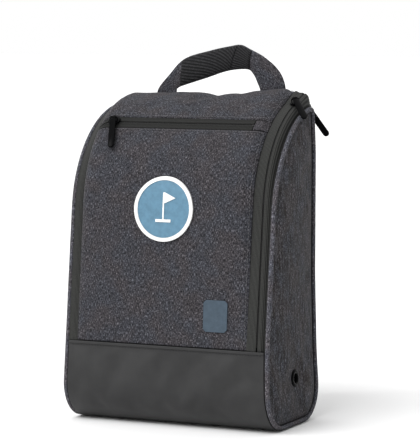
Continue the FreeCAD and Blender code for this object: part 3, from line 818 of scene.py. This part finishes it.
def side_cloth(name, side):
    """A side cloth from base to top, pillowed a little, with a hole under its eyelet."""
    inset, columns = 4.2 * MM, 34
    rows = side_rows(inset)
    shares = [0.5 - 0.5 * math.cos(math.pi * n / columns) for n in range(columns + 1)]
    vertices, uvs, held, near = [], [], [], []
    for z, front, back in rows:
        for share in shares:
            y = mix(front, back, share)
            edge = min(y - front, back - y, (z - rows[0][0]) * 1.2, (rows[-1][0] - z) * 1.2)
            if z > SIDE.middle:
                to_arc = SIDE.radius - math.hypot(y - CENTRE_Y, z - SIDE.middle)
                edge = min(edge, to_arc - inset)
            to_eyelet = math.hypot(y - EYELET.y, z - EYELET.z)
            calm = smooth(to_eyelet, 11 * MM, 30 * MM)
            tuck = -3.8 * MM * math.exp(-max(edge, 0) / (2.8 * MM))
            pillow = 1.6 * MM * smooth(edge, 4 * MM, 40 * MM) * calm
            crease = 0.9 * MM * rough(y * 1.7 + z * 0.5, z * 0.35, 24 * MM, 5.5)
            crease *= smooth(edge, 3 * MM, 20 * MM) * calm
            x = SIDE_OUT[side] - 0.2 * MM + tuck + pillow + crease
            vertices.append(Vector((side * x, y, z)))
            uvs.append((y, z))
            held.append(max(1 - smooth(edge, 3 * MM, 10 * MM),
                            1 - smooth(to_eyelet, 12 * MM, 18 * MM)))
            near.append(to_eyelet)
    count = len(shares)
    faces = [quad for quad in grid_faces(count, len(rows), flip=side < 0)
             if sum(near[i] for i in quad) / 4 > 7 * MM]
    cloth = new_object(name, vertices, faces, uvs)
    settle(cloth, held, 1.6, 0.010, 2.4 * MM)
    return thicken(cloth, CLOTH)


def sides():
    """The left side cloth, and the right one, which stands in for both the right base panel and the
    flap.
    """
    # Both sides wear the darker copy of the heather, a painted shade.
    finish_piece(side_cloth("left_side_cloth", -1), "heather", "bag", ["left_side_panel"], "side")
    right = side_cloth("right_side_cloth", 1)
    finish_piece(right, "heather", None, ["right_side_base_panel", "flap_panel"], "side")
    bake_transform(right)


def side_loop(inset):
    """Points (y, z) all the way round a side, from the front seam over the top and back."""
    loop, step = [], 4 * MM
    length = SIDE.length_to(4)
    count = int(length / step)
    for index in range(count + 1):
        y, z, along, up = SIDE.at(SIDE.t_of_length(length * index / count))
        loop.append((y - along * inset, z - up * inset))
    count = int(UNDER_LENGTHS[-1] / step)
    for index in range(count, -1, -1):
        y, z, along, up = under(under_t(UNDER_LENGTHS[-1] * index / count))
        loop.append((y - along * inset, z - up * inset))
    return loop


def cord_along(name, points, radius):
    """A round cord along a loop of points, a little uneven, with girth and length as UVs."""
    count, sides = len(points), 12
    vertices, uvs, run = [], [], 0.0
    for index, point in enumerate(points):
        along = (points[(index + 1) % count] - points[index - 1]).normalized()
        across = along.cross(Vector((1, 0, 0))).normalized()
        over = across.cross(along).normalized()
        if index:
            run += (point - points[index - 1]).length
        for turn in range(sides):
            angle = 2 * math.pi * turn / sides
            uneven = 1 + 0.05 * rough(run, angle * radius, 5 * MM, 1.3)
            way = across * math.cos(angle) + over * math.sin(angle)
            vertices.append(point + way * radius * uneven)
            uvs.append((angle * radius, run))
    return new_object(name, vertices, ring_faces(count, sides, closed=True), uvs)


def pipings():
    """Cloth-covered cord round both sides; the right one stands in for both the base's and the
    flap's piping.
    """
    inset = 2.8 * MM
    for name, side in (("left_piping_cord", -1), ("right_piping_cord", 1)):
        across = side * (PIPING_OUT[side] - PIPING_R)
        points = [Vector((across, y, z)) for y, z in side_loop(inset)]
        kept = [p for p, q in zip(points, points[-1:] + points[:-1]) if (p - q).length > 1.5 * MM]
        cord = cord_along(name, kept, PIPING_R)
        modifier = cord.modifiers.new("subdivision", "SUBSURF")
        modifier.levels = modifier.render_levels = 1
        freeze(cord)
        if side < 0:
            finish_piece(cord, "piping", "bag", ["left_piping"])
            continue
        finish_piece(cord, "piping", None, ["right_base_piping", "flap_piping"])
        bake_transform(cord)


# ---- bands, tapes and coils

def band_lift(low, high, outer_drop, outer):
    """A tape that dips under the cloth on its inner side and towards the piping."""
    def lift(x, length):
        value = -0.9 * MM * (1 - smooth(abs(x), low, low + 8 * MM))
        value -= outer_drop * smooth(abs(x), outer - 5 * MM, outer)
        edge = min(abs(abs(x) - low), abs(abs(x) - high))
        return value - 0.3 * MM * math.exp(-edge / (0.5 * MM))
    return lift


def bands():
    """The trim band on the left and the two halves of the main zip's tape on the right."""
    lengths = spread(-0.8 * MM, TOTAL, 4 * MM, fine=2 * MM)
    half_gap = 0.55 * MM
    tuck = 2.5 * MM
    for name, low, high, side, body, node_name in (
            ("left_band", LEFT_EDGE - tuck, BAND_EDGE[-1] + 0.8 * MM, -1, "bag", "left_trim_band"),
            ("body_tape", PANEL_EDGE - tuck, ZIP_MIDDLE - half_gap, 1, "bag", "body_zip_tape"),
            ("flap_tape", ZIP_MIDDLE + half_gap, BAND_EDGE[1] + 0.8 * MM, 1, None,
             "flap_zip_tape")):
        xs = [side * x for x in spread(low, high, 1.2 * MM, 3 * MM, 0.5 * MM)]
        drop = 0.8 * MM if side < 0 else 3.4 * MM
        band = sheet(name, xs, lengths, band_lift(low, high, drop, BAND_EDGE[side]), edge_wrap,
                     flip=side < 0)
        finish_piece(thicken(band, 1.0 * MM, 0), "band", body, [node_name])
        if body is None:
            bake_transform(band)


def row_of_teeth(name, places, size):
    """Small rounded bars, one at each (middle, across, along, out) place."""
    width, span, height = (s / 2 for s in size)
    rings = ((-1, 0.6, 0.7), (-0.7, 1, 1), (0.7, 1, 1), (1, 0.6, 0.7))
    corners = [(x, y * a, z * b) for x, y, z in rings
               for a, b in ((-1, -1), (1, -1), (1, 1), (-1, 1))]
    vertices, faces = [], []
    for middle, across, along, out in places:
        faces += ring_faces(4, 4, flip=True, first=len(vertices))
        vertices += [middle + across * (x * width) + along * (y * span) + out * (z * height)
                     for x, y, z in corners]
    return new_object(name, vertices, faces)


def main_coils():
    """The two coils under the free edges of the main zip."""
    margin = 5.2 * MM
    count = int((TOTAL - 2 * margin) / TEETH_PITCH)
    for name, side, body, node_name in (("body_teeth", -1, "bag", "body_zip_coil"),
                                        ("flap_teeth", 1, "flap", "flap_zip_coil")):
        places = []
        for index in range(count):
            t = FULL.t_of_length(margin + (index + side / 4) * TEETH_PITCH)
            point, out = edge_wrap(ZIP_MIDDLE + side * 1.05 * MM, t)
            places.append((point - out * 1.75 * MM, Vector((1, 0, 0)),
                           Vector((0, -out.z, out.y)), out))
        finish_piece(row_of_teeth(name, places, (2.4 * MM, TOOTH_SPAN, 1.2 * MM)), "coil", body,
                     [node_name])


def pocket_tapes():
    """The two ribbed tapes of the zip across the shoulder."""
    xs = spread(-LEFT_EDGE, ZIP_END, 4 * MM)
    slot = 0.5 * MM / FULL.radius
    for name, low, high, sign in (("lower", ZIP_LOW, ZIP_MID - slot, 1),
                                  ("upper", ZIP_MID + slot, ZIP_HIGH, -1)):
        lengths = spread(FULL.length_to(FULL.t_of_angle(low)),
                         FULL.length_to(FULL.t_of_angle(high)), 1 * MM, 3 * MM, 0.6 * MM)
        free_edge = lengths[-1] if sign > 0 else lengths[0]

        def lift(x, length, free_edge=free_edge):
            away = abs(length - free_edge)
            ridge = 0.55 * MM * math.exp(-((away - 1.6 * MM) / (0.9 * MM)) ** 2)
            return -0.9 * MM + ridge - 0.35 * MM * math.exp(-away / (0.4 * MM))
        piece = sheet(f"pocket_{name}_tape", xs, lengths, lift)
        # The tapes wear the darker copy of the zip tape, a painted shade.
        finish_piece(thicken(piece, 0.8 * MM, 0), "band", "bag", [f"pocket_zip_{name}_tape"],
                     "narrow_band")


def pocket_coils():
    """The coils of the zip across the shoulder, each half a tooth off the other."""
    for name, sign in (("lower", -1), ("upper", 1)):
        places, x = [], -98 * MM + sign * TEETH_PITCH / 4
        while x < ZIP_END - 3.5 * MM:
            point, out = wrap(x, T_MID)
            along = Vector((0, out.z, -out.y))
            tooth = point + along * (sign * 1.0 * MM) - out * 1.9 * MM
            places.append((tooth, along, Vector((1, 0, 0)), out))
            x += TEETH_PITCH
        teeth = row_of_teeth(f"pocket_{name}_teeth", places, (2.2 * MM, TOOTH_SPAN, 1.1 * MM))
        finish_piece(teeth, "coil", "bag", [f"pocket_zip_{name}_coil"])


def pocket_end_patch():
    """The patch of cloth between the zip's right end and the band."""
    xs, lengths = (spread(low, high, 2.5 * MM, 4 * MM, 0.8 * MM) for low, high in (
        (ZIP_END + 0.3 * MM, PANEL_EDGE),
        (FULL.length_to(T_LOW) + 0.2 * MM, FULL.length_to(T_HIGH) - 0.2 * MM)))
    piece = sheet("zip_end_cloth", xs, lengths,
                  panel_lift(xs, lengths, lambda x, length: -0.2 * MM, 0.8 * MM))
    finish_piece(thicken(piece, 1.2 * MM), "heather", "bag", ["pocket_zip_end_patch"])


# ---- stitching

def stitches(name, points, outs, thread="thread"):
    """A row of thread stitches lying along a line on the cloth."""
    vertices, faces = [], []
    run, goal = 0.0, STITCH_PITCH / 2
    for start, end, out in zip(points, points[1:], outs):
        step = (end - start).length
        if step < 1e-9:
            continue
        along = (end - start) / step
        while goal <= run + step:
            middle = start + along * (goal - run)
            across = along.cross(out).normalized()
            faces += ring_faces(5, 6, first=len(vertices))
            for place, girth, sink in ((-1.0, 0.5, -0.35), (-0.55, 1.0, 0.1), (0, 1.05, 0.25),
                                       (0.55, 1.0, 0.1), (1.0, 0.5, -0.35)):
                for turn in range(6):
                    angle = math.pi * turn / 3
                    way = across * math.cos(angle) + out * math.sin(angle)
                    vertices.append(middle + along * (place * STITCH_PITCH * 0.36)
                                    + out * (sink * STITCH_R * 2) + way * (STITCH_R * girth))
            goal += STITCH_PITCH
        run += step
    finish_piece(new_object(name, vertices, faces), "coil", "bag", material=thread)


def stitch_on_wrap(name, places):
    """Stitches through (x, t) places on the wrap, sunk a little."""
    points, outs = [], []
    for x, t in places:
        point, out = wrap(x, t)
        points.append(point - out * 0.1 * MM)
        outs.append(out)
    stitches(name, points, outs)


def all_stitching():
    """Rows of thread beside the seams of the front, top and back cloths and the vinyl's edge."""
    inset, steps = STITCH_INSET, 120
    for x, label in ((inset - LEFT_EDGE, "left"), (PANEL_EDGE - inset, "right")):
        for name, low, high in (("front", 0.03, T_LOW - 0.03), ("top", T_HIGH + 0.03, 3.0),
                                ("back", T_BACK_SEAM + 0.03, 3.98)):
            places = [(x, mix(low, high, n / steps)) for n in range(steps + 1)]
            stitch_on_wrap(f"{label}_{name}_stitches", places)
    offset = inset / FULL.radius
    for name, angle in (("below", ZIP_LOW - offset), ("above", ZIP_HIGH + offset)):
        t = FULL.t_of_angle(angle)
        places = [(mix(inset - LEFT_EDGE, PANEL_EDGE - inset, n / steps), t)
                  for n in range(steps + 1)]
        stitch_on_wrap(f"zip_stitches_{name}", places)
    points, outs, below = [], [], VINYL_FOLD + 0.9 * MM
    for n in range(steps + 1):
        x = mix(3 * MM - BAND_EDGE[-1], BAND_EDGE[1] - 3 * MM, n / steps)
        point, out = base_sheet(x, under_t(below))
        points.append(point + out * (0.05 * MM + vinyl_folds(x, below)))
        outs.append(out)
    stitches("vinyl_stitches", points, outs, "dark_thread")


# ---- handle

# Stations along the strap, left end to right end: its outer and inner edge, across and above
# the hinge line, in millimetres. They are the frame's own strap with its corners rounded.
STRAP = [((-74, -28), (-50, -28)), ((-74, -10), (-50, -10)), ((-73, 2), (-50, 1)),
         ((-60, 18), (-48.5, 2.5)), ((-42, 36), (-44, 5)), ((-10, 45.5), (-12, 15)),
         ((14, 50.5), (6, 21)), ((27, 52), (20, 24)), ((38, 47.5), (37, 24.5)),
         ((57, 38), (44, 19)), ((74, 24), (49, 10)), ((82.5, 8), (53, 1)),
         ((84, -10), (54, -10)), ((84, -28), (54, -28))]
MESH_FROM, MESH_TO = 3.9, 8.2
HALF_STRAP = 1.35 * MM
LEAN_BACK = math.radians(6)


def curve_through(values, place):
    """A smooth curve through a list of pairs, read at a fractional index."""
    index = min(len(values) - 2, int(place))
    share = place - index
    p0, p1 = values[max(index - 1, 0)], values[index]
    p2, p3 = values[index + 1], values[min(index + 2, len(values) - 1)]
    result = []
    for a, b, c, d in zip(p0, p1, p2, p3):
        result.append(0.5 * (2 * b + (c - a) * share + (2 * a - 5 * b + 4 * c - d) * share ** 2
                             + (3 * b - a - 3 * c + d) * share ** 3))
    return result


def strap_point(place, across, out):
    """A point of the strap: place along it, across 0 (outer edge) to 1, and out of its face."""
    outer = curve_through([s[0] for s in STRAP], place)
    inner = curve_through([s[1] for s in STRAP], place)
    x, z = (mix(a, b, across) * MM for a, b in zip(outer, inner))
    belly = 2.5 * MM * math.sin(math.pi * across) * smooth(place, 3, 5)
    out += belly * (1 - smooth(place, 8, 10))
    if z < 0:
        y = mix(HANDLE.y, BACK + 1.6 * MM, smooth(-z, 0, 8 * MM))
        return Vector((x, y - out, HANDLE.z + z))
    sin, cos = math.sin(LEAN_BACK), math.cos(LEAN_BACK)
    return Vector((x, HANDLE.y + z * sin - out * cos, HANDLE.z + z * cos - out * sin))


def strap_length(place):
    """Length of the strap's middle line up to a place."""
    steps = 24
    points = [strap_point(place * n / steps, 0.5, 0) for n in range(steps + 1)]
    return sum((b - a).length for a, b in zip(points, points[1:]))


def handle_cloth():
    """The strap with its sewn ends."""
    ring_count = 28
    section = []
    for n in range(ring_count):
        angle = 2 * math.pi * n / ring_count
        c, s = math.cos(angle), math.sin(angle)
        across = 0.5 - 0.5 * math.copysign(abs(c) ** 0.55, c)
        section.append((across, math.copysign(abs(s) ** 0.5, s) * HALF_STRAP))
    last = len(STRAP) - 1
    places = [n / 9 for n in range(9 * last + 1)]
    vertices, uvs = [], []
    for place in places:
        run = strap_length(place)
        for across, out in section:
            pucker = 0.25 * MM * rough(run, across * 30 * MM, 9 * MM, 4.4)
            vertices.append(strap_point(place, across, out + pucker))
            uvs.append((across * 31 * MM, run))
    faces = ring_faces(len(places), ring_count, flip=True)
    strap = new_object("strap_cloth", vertices, faces, uvs)
    finish_piece(strap, "strap", None, ["handle_strap", "left_handle_tab", "right_handle_tab"])
    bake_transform(strap)


def handle_padding():
    """The swelled mesh pad on the strap's face, ribbed, with a groove at its cross seam."""
    rows, columns = 150, 46

    def spot(column, row):
        edge = min(row, rows - row, column, columns - column)
        puff = 1.9 * MM * (1 - math.exp(-edge / 2.2))
        u, v = row * 0.62 * MM, column * 0.66 * MM
        rib = math.sin(rib_phase(u, v) * 2 * math.pi / RIB_PITCH)
        groove = 1.1 * MM * math.exp(-((u - MESH_SEAM) / (1.2 * MM)) ** 2)
        height = HALF_STRAP + 0.15 * MM + puff + 0.3 * MM * rib * min(1, edge / 3) - groove
        place, across = mix(MESH_FROM, MESH_TO, row / rows), mix(0.03, 0.97, column / columns)
        return strap_point(place, across, height), (u, v)
    pad = grid("handle_pad", range(columns + 1), range(rows + 1), spot)
    finish_piece(thicken(pad, 0.5 * MM, 0), "mesh", "handle", ["handle_mesh"])


# ---- inside

def wall_linings():
    """Thin lining cloth inside the pocket and the back."""
    xs = spread(1 * MM - LEFT_EDGE, PANEL_EDGE - 1 * MM, 8 * MM)
    for name, low, high, node_name in (
            ("pocket_lining", 4 * MM, FULL.length_to(T_LOW) - 4 * MM, "pocket_inner_wall"),
            ("back_inner_cloth", FULL.length_to(T_BACK_SEAM) - 8 * MM, TOTAL - 4 * MM,
             "back_lining")):
        piece = sheet(name, xs, spread(low, high, 8 * MM),
                      lambda x, length: (0.4 * rough(x, length, 30 * MM, 8.8) - 3.4) * MM)
        finish_piece(thicken(piece, 0.6 * MM, 0), "lining", "bag", [node_name])


def bindings():
    """Strips behind the seam between the cloth and the vinyl, front and back."""
    xs = spread(1 * MM - BAND_EDGE[-1], ZIP_MIDDLE - 1 * MM, 8 * MM)
    for name, low, high in (("front_binding", -7 * MM, 9 * MM),
                            ("back_binding", TOTAL - 9 * MM, TOTAL + 7 * MM)):
        piece = sheet(name, xs, spread(low, high, 4 * MM), lambda x, length: -2.5 * MM, edge_wrap)
        finish_piece(thicken(piece, 0.5 * MM, 0), "lining", "bag")


def side_linings():
    """Thin lining cloth inside both sides; the flap's starts above its fold."""
    for name, side, body, foot in (("left", -1, "bag", 24 * MM), ("flap", 1, "flap", 94 * MM)):
        rows = [row for row in side_rows(5 * MM) if row[0] > foot]

        def spot(share, row, side=side):
            z, front, back = row
            y = mix(front, back, share)
            x = SIDE_OUT[side] - 3.6 * MM + 0.3 * MM * rough(y, z, 28 * MM, 9.9)
            return Vector((side * x, y, z)), (y, z)
        piece = grid(f"{name}_inner_cloth", [n / 24 for n in range(25)], rows, spot, side < 0)
        finish_piece(thicken(piece, 0.5 * MM, 0), "lining", body, [f"{name}_lining"])


# ---- hardware

def softened(name, body, width):
    """A copy of a moulded part with its edges rounded off."""
    mesh = frame["nodes"][name].data.copy()
    obj = bpy.data.objects.new(f"{name}_moulding", mesh)
    bpy.context.scene.collection.objects.link(obj)
    shape = bmesh.new()
    shape.from_mesh(mesh)
    bmesh.ops.remove_doubles(shape, verts=shape.verts, dist=MM / 1000)
    bmesh.ops.dissolve_limit(shape, angle_limit=math.radians(2), verts=shape.verts,
                             edges=shape.edges)
    shape.to_mesh(mesh)
    shape.free()
    mesh.polygons.foreach_set("use_smooth", [True] * len(mesh.polygons))
    bevel = obj.modifiers.new("bevel", "BEVEL")
    bevel.width, bevel.segments, bevel.angle_limit = width, 3, math.radians(35)
    bevel.harden_normals = True
    finish_piece(freeze(obj), "hardware", body, [name])


def eyelet(side, name):
    """A rolled ring round the vent hole, with its barrel."""
    # radius and height above the cloth, in millimetres
    section = [(5.0, -5), (5.0, 0.5), (5.25, 1.1), (5.9, 1.5), (7.0, 1.6), (8.2, 1.25), (9.1, 0.6),
               (9.5, -0.1), (8.9, -0.5)]
    turns = 48
    vertices = []
    for turn in range(turns):
        angle = 2 * math.pi * turn / turns
        for radius, out in section:
            vertices.append(Vector((side * (SIDE_OUT[side] + out * MM),
                                    EYELET.y + math.cos(angle) * radius * MM,
                                    EYELET.z + math.sin(angle) * radius * MM)))
    ring = new_object(f"{name}_ring", vertices,
                      grid_faces(len(section), turns, side > 0, closed=True))
    finish_piece(ring, "hardware", "bag", [name])


def hardware():
    """The sliders with their bails and pulls, and the two vent eyelets."""
    for kind in ("front", "back", "pocket"):
        softened(f"{kind}_slider", f"{kind}_slider", 0.35 * MM)
        softened(f"{kind}_slider_bail", f"{kind}_slider", 0.3 * MM)
        softened(f"{kind}_pull", f"{kind}_pull", 0.5 * MM)
    eyelet(1, "right_eyelet")
    eyelet(-1, "left_eyelet")


# ---- carried-over CAD parts

# The ending of a CAD part's name, and its material.
CAD_LOOKS = {"_washer": "hardware", "stop": "coil", "badge_rim": "badge_rim",
             "badge_disc": "badge_blue", "badge_motif": "badge_white", "front_patch": "patch",
             "base_board": "board"}


def paint_nodes():
    """Materials for the CAD parts whose shape is right."""
    for name, obj in frame["nodes"].items():
        for ending, key in CAD_LOOKS.items():
            if name.endswith(ending):
                dress(obj, key)


# ---- studio

# Name, azimuth, height, strength and angular size of each light, angles in degrees.
SUNS = (("key", -20, 50, 1.8, 40), ("spark", -50, 35, 0.35, 4))
CAMERA_AROUND, CAMERA_AWAY, CAMERA_HEIGHT = math.radians(25.56), 2.6, 0.446
CAMERA_LENS, CAMERA_SHIFT, CAMERA_AIM = 203.6, (0.0471, 0.0881), Vector((0, 0, 0.175))


def studio():
    """The pale world, seen as plain white, and the floor."""
    scene = bpy.context.scene
    scene.view_settings.view_transform = "Standard"
    sky = Look(bpy.data.worlds.new("studio"), "Background")
    way = sky.node("ShaderNodeSeparateXYZ", {0: sky.node("ShaderNodeTexCoord").outputs[0]}).outputs
    glow = sky.ramp(sky.maths("ABSOLUTE", way["Z"]), (0.08, grey(1)), (0.30, grey(0.92)),
                    (1.0, grey(1.25)))
    dim = sky.ramp(way["X"], (0.0, grey(1)), (0.8, grey(0.42)))
    seen = sky.node("ShaderNodeLightPath").outputs["Is Camera Ray"]
    sky.feed("Color", sky.mixed(seen, sky.multiplied(glow, dim), (1, 1, 1, 1)))
    sky.shader.inputs["Strength"].default_value = 1.0
    scene.world = sky.owner
    floor = new_object("floor", [(-20, -20, -0.0005), (20, -20, -0.0005), (20, 20, -0.0005),
                                 (-20, 20, -0.0005)], [(0, 1, 2, 3)])
    paper = new_look("floor_paper", 0.9, Base_Color=(*grey(0.9), 1))
    floor.data.materials.append(paper.owner)


def lamps():
    """The suns of SUNS, aimed at the origin."""
    for name, around, above, strength, soft in SUNS:
        light = bpy.data.lights.new(name, "SUN")
        light.energy, light.angle = strength, math.radians(soft)
        lamp = bpy.data.objects.new(name, light)
        around, above = math.radians(around), math.radians(above)
        way = Vector((math.sin(around) * math.cos(above), -math.cos(around) * math.cos(above),
                      math.sin(above)))
        lamp.rotation_euler = (-way).to_track_quat("-Z", "Y").to_euler()
        bpy.context.scene.collection.objects.link(lamp)


def camera_in_front():
    """The camera, to the right of the front and a little above the bag."""
    camera_data = bpy.data.cameras.new("camera")
    camera_data.sensor_fit = "HORIZONTAL"
    camera_data.sensor_width = 36
    camera_data.lens = CAMERA_LENS
    camera_data.shift_x, camera_data.shift_y = CAMERA_SHIFT
    camera = bpy.data.objects.new("camera", camera_data)
    camera.location = (CAMERA_AWAY * math.sin(CAMERA_AROUND),
                       -CAMERA_AWAY * math.cos(CAMERA_AROUND), CAMERA_HEIGHT)
    camera.rotation_euler = (CAMERA_AIM - camera.location).to_track_quat("-Z", "Y").to_euler()
    bpy.context.scene.collection.objects.link(camera)
    bpy.context.scene.camera = camera


cloth_panels()
base_parts()
sides()
pipings()
bands()
main_coils()
pocket_tapes()
pocket_coils()
pocket_end_patch()
all_stitching()
handle_cloth()
handle_padding()
wall_linings()
bindings()
side_linings()
hardware()
paint_nodes()
studio()
lamps()
camera_in_front()

bpy.context.view_layer.update()
